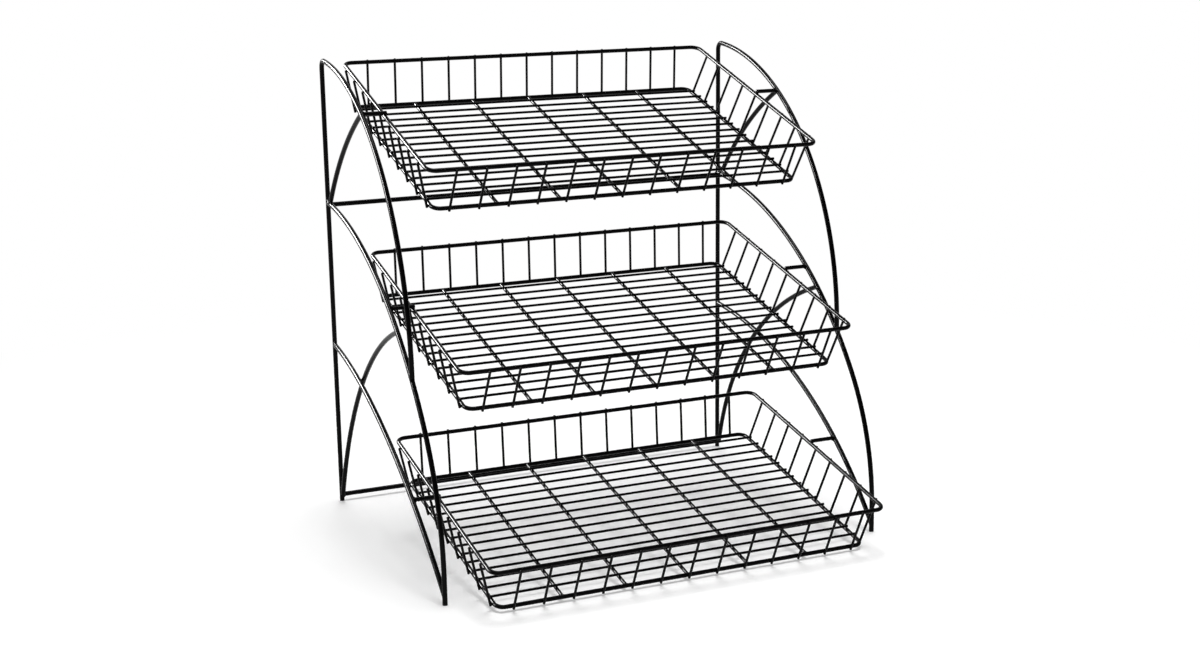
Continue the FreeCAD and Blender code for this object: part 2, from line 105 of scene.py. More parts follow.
# From one range to another: low + (high - low) * (value - from) / (to - from), held at its ends.
def rangeOf(tree, value, source, target=(0.0, 1.0), **settings):
    inputs = {"Value": value}
    inputs["From Min"], inputs["From Max"] = source
    inputs["To Min"], inputs["To Max"] = target
    return addNode(tree, "MapRange", inputs, **settings).outputs["Result"]


def mathOf(tree, operation, first, second, **settings):
    node = addNode(tree, "Math", {0: first, 1: second}, operation=operation, **settings)
    return node.outputs["Value"]


def mixOf(tree, amount, first, second, **settings):
    inputs = {"Factor": amount, "A": first, "B": second}
    return addNode(tree, "Mix", inputs, **settings).outputs["Result"]


# Gloss black powder coat, on the side frames and, a little finer, on the baskets.
# A noise is given as waves per metre, detail and roughness of the noise itself.
frameCoat = {
    "colour": (0.0010, 0.0009, 0.0011),
    "specular": 0.06,
    "ior": 1.5,
    "flowNoise": (55.0, 3.0, 0.55),             # slow change of the coat along a wire
    "thinColour": (0.0032, 0.0029, 0.0031),     # where the coat flowed thin
    "thinRange": (0.35, 0.75),      # of the flow noise, from full coat to thin
    "gloss": (0.17, 0.26),          # roughness, smallest and largest
    "glossRange": (0.30, 0.75),     # of the flow noise, from smallest to largest
    "peelNoise": (620.0, 2.0, 0.5),     # orange peel
    "peelHeight": 0.0002,           # m
    "peelShare": 0.026,             # how much of that height shows
    "dustNoise": (420.0, 5.0, 0.7),
    "dust": 0.22,
    "dustColour": (0.030, 0.0285, 0.027),
    "dustRange": (0.60, 0.74),      # of the dust noise, from clean to dusty
    "dustSlope": 0.55,              # least upward part of the normal that holds dust
    "scuffHeight": 0.0025,          # the feet are rubbed dull below this height, m
    "scuffColour": (0.020, 0.019, 0.018),
    "scuffRange": (0.40, 0.60),     # of the dust noise, from whole to scuffed
    "scuffRoughness": 0.35,         # on top of the coat's own
}
basketCoat = dict(
    frameCoat,
    flowNoise=(80.0, 3.0, 0.55),
    gloss=(0.18, 0.28),
    peelNoise=(780.0, 2.0, 0.5),
    peelShare=0.024,
)


# One slow noise mixes the colour and the roughness of the coat:
# value = low + (high - low) * noise(place * size). Another spots it with dust and scuffs, and
# a fine one is its orange peel.
def powderCoat(name, look):
    material = bpy.data.materials.new(name)
    tree = emptyTree(material)
    place = addNode(tree, "TexCoord").outputs["Object"]
    normal = addNode(tree, "NewGeometry").outputs["Normal"]
    height, upward = (
        addNode(tree, "SeparateXYZ", {"Vector": vector}).outputs["Z"] for vector in (place, normal)
    )
    flow, dust, peel = (
        noiseOf(tree, place, *look[noise]) for noise in ("flowNoise", "dustNoise", "peelNoise")
    )

    def blended(amount, first, second):
        return mixOf(tree, amount, first, second, data_type="RGBA")

    thin = rangeOf(tree, flow, look["thinRange"])
    coat = blended(thin, look["colour"], look["thinColour"])

    # a little dust lies on what faces up
    facing = rangeOf(tree, upward, (look["dustSlope"], 1.0), (0.0, look["dust"]))
    dusty = mathOf(tree, "MULTIPLY", facing, rangeOf(tree, dust, look["dustRange"]))
    coat = blended(dusty, coat, look["dustColour"])

    # the cut feet are scuffed by what the rack is pushed about on
    low = rangeOf(tree, height, (look["scuffHeight"], 0.0))
    scuffed = mathOf(tree, "MULTIPLY", low, rangeOf(tree, dust, look["scuffRange"]))
    coat = blended(scuffed, coat, look["scuffColour"])

    dull = rangeOf(tree, scuffed, (0.0, 1.0), (0.0, look["scuffRoughness"]))
    gloss = rangeOf(tree, flow, look["glossRange"], look["gloss"])
    rough = mathOf(tree, "ADD", gloss, dull)
    peelInputs = {"Strength": look["peelShare"], "Distance": look["peelHeight"], "Height": peel}
    bump = addNode(tree, "Bump", peelInputs)
    shader = addNode(tree, "BsdfPrincipled", {
        "Base Color": coat,
        "Metallic": 0.0,
        "Roughness": rough,
        "IOR": look["ior"],
        "Specular IOR Level": look["specular"],
        "Normal": bump.outputs["Normal"],
    })
    addNode(tree, "OutputMaterial", {"Surface": shader.outputs["BSDF"]})
    return material


# A finish is a coat and the record's slot for it.
frameFinish = (powderCoat("frameWireBlackGloss", frameCoat), "frame_wire")
basketFinish = (powderCoat("basketWireBlackGloss", basketCoat), "basket_wire")
for name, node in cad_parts.items():
    coat, _ = basketFinish if "_basket_" in name else frameFinish
    for slot in node.material_slots:
        slot.material = coat
print("powder coat on", len(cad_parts), "nodes")

# The rack's own wires, in millimetres. "forward" counts from the uprights to the front.
sideFrame = {
    "wire": 6.35,
    "pegWire": 5.3,
    "halfWidth": 294.0,
    "topArc": (-18.0, 252.5, 355.4),    # forward and height of the centre, radius
    "legReach": 431.5,
    "legStraight": 29.3,
    "legRadius": 297.8,
    "legAngle": 35.4,
    "shoulderRadius": 519.5,
    "lowerArcRear": 222.8,              # height of its two ends
    "lowerArcToe": 10.0,
    "lowerArcRadius": 661.0,
    "upperBraceFoot": 10.0,             # forward
    "upperBraceRadius": 462.5,
    "lowerBraceFoot": (5.85, 10.2),
    "lowerBraceTop": 299.5,             # height
    "lowerBraceRadius": 430.5,
    "crossbarDrop": 3.0,                # of the upper one, below the shoulder's end
    "crossbarHeight": 9.0,              # of the lower one
    "topPeg": 552.3,                    # heights
    "middlePeg": 322.5,
    "bottomPeg": 100.0,
    "pegInnerEnd": 261.8,
}
basket = {
    "rimWire": 5.3,
    "railWire": 5.3,
    "ribWire": 4.6,
    "meshWire": 3.25,
    "halfWidth": 263.0,         # rim, centre to side wire
    "halfDepth": 176.0,
    "height": 57.0,
    "flare": 15.0,
    "railCorner": 11.0,         # radius
    "longMargin": 8.4,          # from the corner to the first upright wire, front and rear
    "longCount": 13,
    "longEnds": (1.2, 2.4),     # wire beyond the rail and beyond the rim
    "shortMargin": 0.4,         # the same at the sides
    "shortCount": 9,
    "shortEnds": (1.6, 1.0),
    "floorCount": 15,
    "floorOverhang": 1.5,
    "ribCount": 5,
    "tilt": {"top": 17.0, "middle": 14.0, "bottom": 11.3},
}
weldSink = 0.12         # how deep crossing wires are pressed into each other, mm
perMetre = 1000.0       # millimetres
tiny = 1e-6             # keeps a division from zero


def millimetres(corners):
    return [np.array(corner) * perMetre for corner in corners]


rearY = millimetres(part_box("left_upright_and_top_arc"))[1][1] - sideFrame["wire"] / 2


def unit(vectors):
    return vectors / np.linalg.norm(vectors, axis=-1, keepdims=True)


def dot(first, second):
    return np.sum(first * second, axis=-1, keepdims=True)


# The angles of equal steps round a wire.
def roundSteps(count):
    return np.linspace(0.0, 2 * math.pi, count, endpoint=False)


# The faces of one closed shell: rings of equal size, a pole before the first and one after the
# last. Point number = ring * steps + step, and the two poles come after all rings.
def shellFaces(rings, steps):
    step = np.arange(steps)
    after = (step + 1) % steps
    ring = np.arange(rings - 1)[:, None] * steps
    quads = np.stack((ring + step, ring + after, ring + steps + after, ring + steps + step), -1)
    last = (rings - 1) * steps
    firstPole = np.full(steps, rings * steps)
    firstFan = np.stack((firstPole, after, step), -1)
    lastFan = np.stack((firstPole + 1, last + step, last + after), -1)
    return quads.reshape(-1, 4), np.concatenate((firstFan, lastFan))


# Many closed shells in one piece, from points (shell, ring, step, xyz) and their poles.
# Rings run anticlockwise about the way from pole to pole, so that the faces point outwards.
def addShells(name, points, firstPoles, lastPoles, finish):
    shells, rings, steps, _ = points.shape
    perShell = rings * steps + 2
    points = points.reshape(shells, rings * steps, 3)
    vertices = np.concatenate((points, firstPoles[:, None], lastPoles[:, None]), axis=1)
    starts = (np.arange(shells) * perShell)[:, None, None]
    quads, fans = shellFaces(rings, steps)
    quads = (quads + starts).reshape(-1, 4)
    fans = (fans + starts).reshape(-1, 3)
    mesh = bpy.data.meshes.new(name)
    mesh.vertices.add(shells * perShell)
    mesh.vertices.foreach_set("co", vertices.ravel() / perMetre)
    mesh.loops.add(quads.size + fans.size)
    mesh.loops.foreach_set("vertex_index", np.concatenate((quads.ravel(), fans.ravel())))
    mesh.polygons.add(len(quads) + len(fans))
    quadStarts = np.arange(len(quads)) * 4
    fanStarts = quads.size + np.arange(len(fans)) * 3
    mesh.polygons.foreach_set("loop_start", np.concatenate((quadStarts, fanStarts)))
    mesh.update(calc_edges=True)
    mesh.shade_smooth()
    coat, slot = finish
    mesh.materials.append(coat)
    piece = addToScene(name, mesh)
    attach(piece, "root")


# A wire that ends on another: the point where their lines meet, the way out along it and the
# way along the other, both radii, how far its line passes beside the other's, both bends.
straight = np.zeros(3)
wireEnding = namedtuple(
    "wireEnding",
    "point away through radius other aside awayBend throughBend",
    defaults=(0.0, straight, straight),
)

# Two wires that cross: the contact point, the way from the first to the second, their own
# ways, radii, the gap between them at the weld's edge, and how far out that edge may go.
wireCrossing = namedtuple(
    "wireCrossing", "point normal first second firstRadius secondRadius gap most"
)

# A cut end: the middle of the cut and the way out of the wire.
wireTip = namedtuple("wireTip", "point outwards")


# Many joints as one, with an array for each fact and a row in it for each joint.
def stacked(joints):
    facts = [np.array(fact, dtype=float).reshape(len(joints), -1) for fact in zip(*joints)]
    return type(joints[0])(*facts)


# Stacked joints turned by a matrix and moved. The facts with three parts are places and ways,
# and the first of them is the point, which alone is moved.
def placed(joints, centre, turn):
    facts = [fact @ turn if fact.shape[1] == 3 else fact for fact in joints]
    return type(joints)(centre + facts[0], *facts[1:])


# A fact of each joint, laid out to meet points (joint, ring, step, xyz).
def onGrid(fact):
    return fact[:, None, None, :]


buttWeld = {
    "leg": 2.4,         # of the fillet, along either wire, mm
    "ribLeg": 1.5,
    "fullness": 0.75,   # 0 is a sharp corner, 1 a flat fillet, more bulges
    "steps": 24,
    "rings": 6,
    "sink": 0.05,
    "widest": 0.98,     # most of the other wire's radius that the foot goes out to
}


# A fillet round a wire that ends on another one. Round the ending wire's axis, at angle t and
# radius r, the other wire's side of radius R is met at the height
# s = (sqrt(R^2 - (r sin t - aside)^2) + r cos t cos angle) / sin angle.
# The fillet's foot lies at that height for a grown radius, its top one leg above the corner,
# and between them it follows a parabola that the corner pulls inwards.
def addButtWelds(name, joints, leg, finish):
    setup = buttWeld
    point, away, through, radius, other, aside, awayBend, throughBend = joints
    cosAngle = dot(away, through)
    sinAngle = np.sqrt(1.0 - cosAngle ** 2)
    ahead = (through - away * cosAngle) / sinAngle
    beside = np.cross(away, ahead)
    t = roundSteps(setup["steps"])[None]
    cosT, sinT = np.cos(t), np.sin(t)

    def heightAt(ringRadius, otherRadius):
        inner = np.maximum(otherRadius ** 2 - (ringRadius * sinT - aside) ** 2, 0.0)
        return (np.sqrt(inner) + ringRadius * cosT * cosAngle) / sinAngle

    most = setup["widest"] * other + aside * np.sign(sinT)
    most = most / np.maximum(np.abs(sinT), tiny)
    footRadius = np.minimum(radius + leg * sinAngle, most)
    footHeight = heightAt(footRadius, other - setup["sink"])
    cornerRadius = np.broadcast_to(radius, footRadius.shape)
    cornerHeight = heightAt(np.minimum(radius, most), other)
    topRadius = cornerRadius - setup["sink"]
    topHeight = cornerHeight + leg
    w = np.linspace(0.0, 1.0, setup["rings"])[None, :, None]

    # from (joint, step) at the foot, corner and top to (joint, ring, step, 1)
    def between(foot, corner, top):
        foot, corner, top = foot[:, None], corner[:, None], top[:, None]
        pulled = corner + setup["fullness"] * ((foot + top) / 2 - corner)
        return ((1 - w) ** 2 * foot + 2 * w * (1 - w) * pulled + w ** 2 * top)[..., None]

    ringRadius = between(footRadius, cornerRadius, topRadius)
    ringHeight = between(footHeight, cornerHeight, topHeight)

    cosT, sinT = cosT[:, None, :, None], sinT[:, None, :, None]
    spread = ringRadius * (cosT * onGrid(ahead) + sinT * onGrid(beside))
    points = onGrid(point) + ringHeight * onGrid(away) + spread

    # both wires are bent a little, and the fillet follows them
    alongOther = ringHeight * onGrid(cosAngle) + ringRadius * cosT * onGrid(sinAngle)
    w = w[..., None]
    points = points + w * ringHeight ** 2 / 2 * onGrid(awayBend)
    points = points + (1 - w) * alongOther ** 2 / 2 * onGrid(throughBend)
    lastPoles = point + away * topHeight.mean(axis=1, keepdims=True)
    addShells(name, points, point, lastPoles, finish)


crossWeld = {
    "meshGap": 0.50,    # between the two wires at the weld's edge, mm
    "pegGap": 1.1,
    "braceGap": 1.0,
    "waist": 0.80,      # the weld's middle, as a share of its edge
    "reach": 0.94,      # most of a wire's radius that the edge goes out to
    "steps": 12,
    "frameSteps": 28,
    "sink": 0.04,
}


# The collar where two wires cross and touch. At angle t round the contact's normal its edge is
# as far out as leaves the same gap between the wires all round:
# reach = sqrt(2 gap / (sin^2(t - t1) / r1 + sin^2(t - t2) / r2)), t1 and t2 their directions.
# The lower edge lies on the first wire, the upper edge on the second, r - sqrt(r^2 - d^2) off
# the contact plane at a distance d from the wire's line. The poles are hidden in the wires.
def addCrossWelds(name, joints, steps, finish):
    setup = crossWeld
    point, normal, first, second, firstRadius, secondRadius, gap, most = joints
    across = np.cross(normal, first)
    t = roundSteps(steps)[None]
    secondAngle = np.arctan2(dot(second, across), dot(second, first))
    firstPart, secondPart = np.abs(np.sin(t)), np.abs(np.sin(t - secondAngle))
    reach = np.sqrt(2 * gap / (firstPart ** 2 / firstRadius + secondPart ** 2 / secondRadius))
    reach = np.minimum(reach, setup["reach"] * firstRadius / np.maximum(firstPart, tiny))
    reach = np.minimum(reach, setup["reach"] * secondRadius / np.maximum(secondPart, tiny))
    reach = np.minimum(reach, most)
    deep = weldSink / 2 - setup["sink"]
    low = deep - firstRadius + np.sqrt(firstRadius ** 2 - (reach * firstPart) ** 2)
    high = secondRadius - np.sqrt(secondRadius ** 2 - (reach * secondPart) ** 2) - deep
    out = np.stack((reach, reach * setup["waist"], reach), axis=1)[..., None]
    rise = np.stack((low, (low + high) / 2, high), axis=1)[..., None]
    cosT, sinT = np.cos(t)[:, None, :, None], np.sin(t)[:, None, :, None]
    spread = out * (cosT * onGrid(first) + sinT * onGrid(across))
    points = onGrid(point) + spread + rise * onGrid(normal)
    firstPoles = point - normal * firstRadius.min()
    lastPoles = point + normal * secondRadius.min()
    addShells(name, points, firstPoles, lastPoles, finish)


cutEnd = {
    "out": (0.96, 0.86, 0.62, 0.32),    # of each ring, as shares of the wire's radius
    "rise": (-0.10, 0.11, 0.24, 0.31),  # the same, beyond the cut
    "innerPole": -0.5,
    "outerPole": 0.33,
    "steps": 12,
    "steep": 0.9,       # x part of a way from which its sides are found from y, not from x
}


# The coat's bead on a cut wire end: rings of the given radii and heights about the wire's line.
def addCutEnds(name, tips, radius, finish):
    setup = cutEnd
    point, outwards = tips
    steep = np.abs(outwards[:, :1]) >= setup["steep"]
    side = unit(np.cross(np.where(steep, (0.0, 1.0, 0.0), (1.0, 0.0, 0.0)), outwards))
    other = np.cross(outwards, side)
    t = roundSteps(setup["steps"])[None, None, :, None]
    out, rise = (np.array(setup[key])[None, :, None, None] * radius for key in ("out", "rise"))
    spread = out * (np.cos(t) * onGrid(side) + np.sin(t) * onGrid(other))
    points = onGrid(point) + spread + rise * onGrid(outwards)
    firstPoles = point + outwards * setup["innerPole"] * radius
    lastPoles = point + outwards * setup["outerPole"] * radius
    addShells(name, points, firstPoles, lastPoles, finish)


# Centre and radius of the arc that bulges upwards between two ends.
def arcThrough(first, last, radius):
    run, rise = last[0] - first[0], last[1] - first[1]
    chord = math.hypot(run, rise)
    depth = math.sqrt(radius ** 2 - chord ** 2 / 4)
    return (
        first[0] + run / 2 + depth * rise / chord,
        first[1] + rise / 2 - depth * run / chord,
        radius,
    )


def forwardOn(arc, height):
    return arc[0] + math.sqrt(arc[2] ** 2 - (height - arc[1]) ** 2)


def heightOn(arc, forward):
    return arc[1] + math.sqrt(arc[2] ** 2 - (forward - arc[0]) ** 2)


# Where two arcs cross: along the line between their centres, then square to it to its left.
def arcsCross(first, second):
    run, rise = second[0] - first[0], second[1] - first[1]
    apart = math.hypot(run, rise)
    along = (apart ** 2 + first[2] ** 2 - second[2] ** 2) / (2 * apart)
    aside = math.sqrt(first[2] ** 2 - along ** 2)
    return (
        first[0] + (along * run - aside * rise) / apart,
        first[1] + (along * rise + aside * run) / apart,
    )


# A side frame's arcs, and the spots where its wires meet, as forward and height in its plane.
def sideFrameLines(size):
    angle = math.radians(size["legAngle"])
    growth = size["shoulderRadius"] - size["legRadius"]
    shoulder = (
        size["legReach"] - size["legRadius"] - growth * math.cos(angle),
        size["legStraight"] - growth * math.sin(angle),
        size["shoulderRadius"],
    )
    top = size["topArc"]
    rear, toe = (0.0, size["lowerArcRear"]), (size["legReach"], size["lowerArcToe"])
    lower = arcThrough(rear, toe, size["lowerArcRadius"])
    topPeg = (forwardOn(top, size["topPeg"]), size["topPeg"])
    upperFoot = (size["upperBraceFoot"], heightOn(shoulder, size["upperBraceFoot"]))
    lowerFoot = size["lowerBraceFoot"]
    lowerTop = (forwardOn(shoulder, size["lowerBraceTop"]), size["lowerBraceTop"])
    lowerBrace = arcThrough(lowerFoot, lowerTop, size["lowerBraceRadius"])
    arcs = {
        "top": top,
        "shoulder": shoulder,
        "lower": lower,
        "upperBrace": arcThrough(upperFoot, topPeg, size["upperBraceRadius"]),
        "lowerBrace": lowerBrace,
    }
    spots = {
        "topEnd": arcsCross(top, shoulder),
        "shoulderEnd": (0.0, heightOn(shoulder, 0.0)),
        "lowerRear": rear,
        "lowerToe": toe,
        "upperBraceFoot": upperFoot,
        "lowerBraceFoot": lowerFoot,
        "lowerBraceTop": lowerTop,
        "braceCross": arcsCross(lower, lowerBrace),
        "topPeg": topPeg,
        "middlePeg": (forwardOn(shoulder, size["middlePeg"]), size["middlePeg"]),
        "bottomPeg": (forwardOn(lower, size["bottomPeg"]), size["bottomPeg"]),
    }
    return arcs, spots


arcs, spots = sideFrameLines(sideFrame)

# In each row: the arc that ends, the spot where it does and a spot ahead on it, then the arc
# that it ends on and a spot ahead on that. None is the straight wire of the upright or the leg.
frameEndings = (
    ("shoulder", "shoulderEnd", "lowerBraceTop", None, None),
    ("lower", "lowerRear", "lowerToe", None, None),
    ("lower", "lowerToe", "lowerRear", None, None),
    ("upperBrace", "upperBraceFoot", "topPeg", "shoulder", "lowerBraceTop"),
    ("upperBrace", "topPeg", "upperBraceFoot", "top", "topEnd"),
    ("top", "topEnd", "topPeg", "shoulder", "lowerBraceTop"),
    ("lowerBrace", "lowerBraceTop", "lowerBraceFoot", "shoulder", "lowerToe"),
)
pegArcs = {"topPeg": "top", "middlePeg": "shoulder", "bottomPeg": "lower"}


# A place in a side frame's plane, and a way in it, as three coordinates.
def placeAt(side, spot):
    return np.array((side * sideFrame["halfWidth"], rearY - spot[0], spot[1]))


def wayOf(forward, rise):
    return np.array((0.0, -forward, rise))


# The way along an arc at a spot on it, turned to the side where the spot ahead lies.
def wayAlong(arc, spot, ahead):
    way = ((spot[1] - arc[1]) / arc[2], (arc[0] - spot[0]) / arc[2])
    facing = way[0] * (ahead[0] - spot[0]) + way[1] * (ahead[1] - spot[1])
    return wayOf(*way) if facing > 0 else -wayOf(*way)


# The bend of an arc at a spot: 1 / radius, towards its centre.
def bendOf(arc, spot):
    return wayOf(arc[0] - spot[0], arc[1] - spot[1]) / arc[2] ** 2


# Turn a vector about an axis: v cos a + (k x v) sin a + k (k.v) (1 - cos a).
def turned(vector, axis, angle):
    around = np.cross(axis, vector) * math.sin(angle)
    return vector * math.cos(angle) + around + axis * np.dot(axis, vector) * (1 - math.cos(angle))


# How an arc leans aside at the crossing, by half a pressed-in wire: about the line between its
# ends, by the angle with sin a = half a wire / the crossing's distance from that line.
def leanOf(first, last, aside):
    run, rise = last[0] - first[0], last[1] - first[1]
    cross = spots["braceCross"]
    area = abs(run * (cross[1] - first[1]) - rise * (cross[0] - first[0]))
    distance = area / math.hypot(run, rise)
    halfWire = (sideFrame["wire"] - weldSink) / 2
    return unit(wayOf(run, rise)), aside * math.asin(halfWire / distance)


# All joints of one side frame, which stands on the left for -1 and on the right for 1.
def sideFrameJoints(side):
    wire, peg = sideFrame["wire"] / 2, sideFrame["pegWire"] / 2
    inwards, vertical = np.array((-side, 0.0, 0.0)), np.array((0.0, 0.0, 1.0))
    leans = {
        "lower": leanOf(spots["lowerRear"], spots["lowerToe"], -side),
        "lowerBrace": leanOf(spots["lowerBraceFoot"], spots["lowerBraceTop"], side),
    }

    def leaned(arc, vector):
        return turned(vector, *leans[arc]) if arc in leans else vector

    def way(arc, spot, ahead):
        return leaned(arc, wayAlong(arcs[arc], spots[spot], spots[ahead])) if arc else vertical

    # the leans are too small to matter for the bends
    def bend(arc, spot):
        return bendOf(arcs[arc], spots[spot]) if arc else straight

    upperCrossbar = spots["shoulderEnd"][1] - sideFrame["crossbarDrop"]
    endings = [
        wireEnding(placeAt(side, (0.0, height)), inwards, vertical, wire, wire)
        for height in (upperCrossbar, sideFrame["crossbarHeight"])
    ]
    for arc, spot, ahead, other, otherAhead in frameEndings:
        endings.append(wireEnding(
            placeAt(side, spots[spot]),
            way(arc, spot, ahead),
            way(other, spot, otherAhead),
            wire,
            wire,
            awayBend=bend(arc, spot),
            throughBend=bend(other, spot),
        ))
    rear = placeAt(side, spots["lowerRear"])
    for spot, arc in pegArcs.items():
        point = rear + leaned(arc, placeAt(side, spots[spot]) - rear)
        through, throughBend = way(arc, spot, "lowerToe"), bend(arc, spot)
        endings.append(wireEnding(point, inwards, through, peg, wire, throughBend=throughBend))
    crossing = wireCrossing(
        placeAt(side, spots["braceCross"]),
        -inwards,
        way("lowerBrace", "braceCross", "lowerBraceTop"),
        way("lower", "braceCross", "lowerToe"),
        wire,
        wire,
        crossWeld["braceGap"],
        sideFrame["wire"],
    )
    return endings, crossing


leftEndings, leftCrossing = sideFrameJoints(-1)
rightEndings, rightCrossing = sideFrameJoints(1)
frameJoints = stacked(leftEndings + rightEndings)
frameCrossings = stacked([leftCrossing, rightCrossing])
addButtWelds("sideFrameWelds", frameJoints, buttWeld["leg"], frameFinish)
addCrossWelds("lowerBraceCrossWelds", frameCrossings, crossWeld["frameSteps"], frameFinish)
print("side frame welds:", len(frameJoints.point) + len(frameCrossings.point))


def row(count, step):
    return (np.arange(count) - (count - 1) / 2) * step


def grid(xs, ys, z):
    xs, ys = np.meshgrid(xs, ys)
    return np.stack((xs.ravel(), ys.ravel(), np.full(xs.size, z)), axis=1)


# The matrix that turns points, as rows, from one axis towards another. Its own rows are where
# the axes go: (cos, sin), (-sin, cos), and the third one stays.
def turnMatrix(first, second, degrees):
    angle = math.radians(degrees)
    turn = np.eye(3)
    turn[first, first] = turn[second, second] = math.cos(angle)
    turn[first, second], turn[second, first] = math.sin(angle), -math.sin(angle)
    return turn


xAxis, yAxis, zAxis = range(3)
xWay, yWay, zWay = np.eye(3)


# The upright wires of a wall: joints with the rail and the rim, and their cut ends. Each wall
# is the rear one, "reach" behind the middle, turned about the basket's upright axis. Its wires
# stand at the given places, and go beyond the rail and the rim by the two ends.
def wallJoints(size, turn, reach, places, ends):
    rim, rail, mesh = (size[wire] / 2 for wire in ("rimWire", "railWire", "meshWire"))
    spin = turnMatrix(xAxis, yAxis, turn)
    slope = math.atan2(size["flare"], size["height"])
    length = math.hypot(size["flare"], size["height"])
    up = np.array((0.0, math.sin(slope), math.cos(slope)))
    away = np.array((0.0, math.cos(slope), -math.sin(slope)))
    feet = grid(places, (reach,), -size["height"])
    crossings = []
    for along, radius, end in ((0.0, rail, ends[0]), (length, rim, ends[1])):
        points = (feet + up * along + away * (radius - weldSink / 2)) @ spin
        facts = (away @ spin, xWay @ spin, up @ spin, radius, mesh, crossWeld["meshGap"], end)
        crossings += [wireCrossing(point, *facts) for point in points]
    lines = feet + away * (max(rim, rail) + mesh - weldSink)
    tips = [wireTip(point, -up @ spin) for point in (lines - up * ends[0]) @ spin]
    tips += [wireTip(point, up @ spin) for point in (lines + up * (length + ends[1])) @ spin]
    return crossings, tips


# All welds and cut ends of one basket in its own axes: x to the right, y to the rear and z up
# from the middle of the rim.
def basketJoints(size):
    rail, rib, mesh = (size[wire] / 2 for wire in ("railWire", "ribWire", "meshWire"))
    railX, railY = size["halfWidth"] - size["flare"], size["halfDepth"] - size["flare"]
    floorZ = rail + mesh - weldSink - size["height"]
    ribZ = floorZ - mesh - rib + weldSink
    contactZ = floorZ - mesh + weldSink / 2
    floorYs = row(size["floorCount"], 2 * railY / (size["floorCount"] + 1))
    ribXs = row(size["ribCount"], 2 * railX / (size["ribCount"] + 1))

    # floor wires across the ribs and across the rail's side wires
    onRibs = (ribXs, rib, math.inf)
    onRail = ((-railX, railX), rail, size["floorOverhang"])
    crossings = []
    for xs, radius, most in (onRibs, onRail):
        facts = (zWay, yWay, xWay, radius, mesh, crossWeld["meshGap"], most)
        crossings += [wireCrossing(point, *facts) for point in grid(xs, floorYs, contactZ)]

    longStep = 2 * (railX - size["railCorner"] - size["longMargin"]) / (size["longCount"] - 1)
    shortStep = 2 * (railY - size["railCorner"] - size["shortMargin"]) / (size["shortCount"] - 1)
    longWall = (railY, row(size["longCount"], longStep), size["longEnds"])
    shortWall = (railX, row(size["shortCount"], shortStep), size["shortEnds"])
    tips = []
    for turn, wall in ((0, longWall), (90, shortWall), (180, longWall), (270, shortWall)):
        wallCrossings, wallTips = wallJoints(size, turn, *wall)
        crossings += wallCrossings
        tips += wallTips
    for side in (-1, 1):
        ends = grid((side * (railX + size["floorOverhang"]),), floorYs, floorZ)
        tips += [wireTip(point, side * xWay) for point in ends]

    # the ribs end on the rail's front and rear wires, which lie a little lower than they do
    lower = -size["height"] - ribZ
    endings = [
        wireEnding((x, end * railY, ribZ), -end * yWay, xWay, rib, rail, aside=end * lower)
        for end in (-1, 1) for x in ribXs
    ]
    return stacked(crossings), stacked(tips), stacked(endings)


# The middle of a left peg. Its y and z are those of the right one too.
def pegMiddle(tier):
    low, high = millimetres(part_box(f"left_{tier}_peg"))
    return (low + high) / 2


# The two pegs lie across the rim's side wires. A peg's centre is at y cos tilt - z sin tilt
# behind the basket's, which gives y for its z.
def pegCrossings(tier, centre):
    rim, peg = basket["rimWire"] / 2, sideFrame["pegWire"] / 2
    tilt = math.radians(basket["tilt"][tier])
    behind = pegMiddle(tier)[1] - centre[1]
    y = (behind + (rim + peg - weldSink) * math.sin(tilt)) / math.cos(tilt)
    return stacked([
        wireCrossing(
            (side * basket["halfWidth"], y, rim - weldSink / 2),
            zWay,
            yWay,
            xWay,
            rim,
            peg,
            crossWeld["pegGap"],
            sideFrame["pegWire"],
        )
        for side in (-1, 1)
    ])


meshCrossings, wireTips, ribEndings = basketJoints(basket)


def addBasketWelds(tier):
    low, high = millimetres(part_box(f"{tier}_basket_rim"))
    centre = (low + high) / 2
    lean = turnMatrix(yAxis, zAxis, basket["tilt"][tier])
    tips, ribs, mesh, pegs = (
        placed(joints, centre, lean)
        for joints in (wireTips, ribEndings, meshCrossings, pegCrossings(tier, centre))
    )
    prefix = tier + "Basket"
    addCutEnds(prefix + "WireEnds", tips, basket["meshWire"] / 2, basketFinish)
    addButtWelds(prefix + "RibWelds", ribs, buttWeld["ribLeg"], basketFinish)
    addCrossWelds(prefix + "MeshWelds", mesh, crossWeld["steps"], basketFinish)
    addCrossWelds(prefix + "PegWelds", pegs, crossWeld["frameSteps"], basketFinish)


for tier in basket["tilt"]:
    addBasketWelds(tier)
    print(tier, "basket welded and its wire ends coated")

pegTips = stacked([
    wireTip((side * sideFrame["pegInnerEnd"], *pegMiddle(tier)[1:]), -side * xWay)
    for side in (-1, 1) for tier in basket["tilt"]
])
addCutEnds("pegEnds", pegTips, sideFrame["pegWire"] / 2, frameFinish)

footWeld = {
    "halfLength": 5.5,      # of the bead in the groove between brace and upright, mm
    "halfWidth": 1.0,
    "height": 14.5,
    "braceShift": 0.3,      # how far the brace has come forward at that height
    "out": 2.35,            # from the side frame's plane
    "steps": 16,
    "rings": 9,
    "lastRing": 0.45,       # its latitude, as a share of a half turn
}


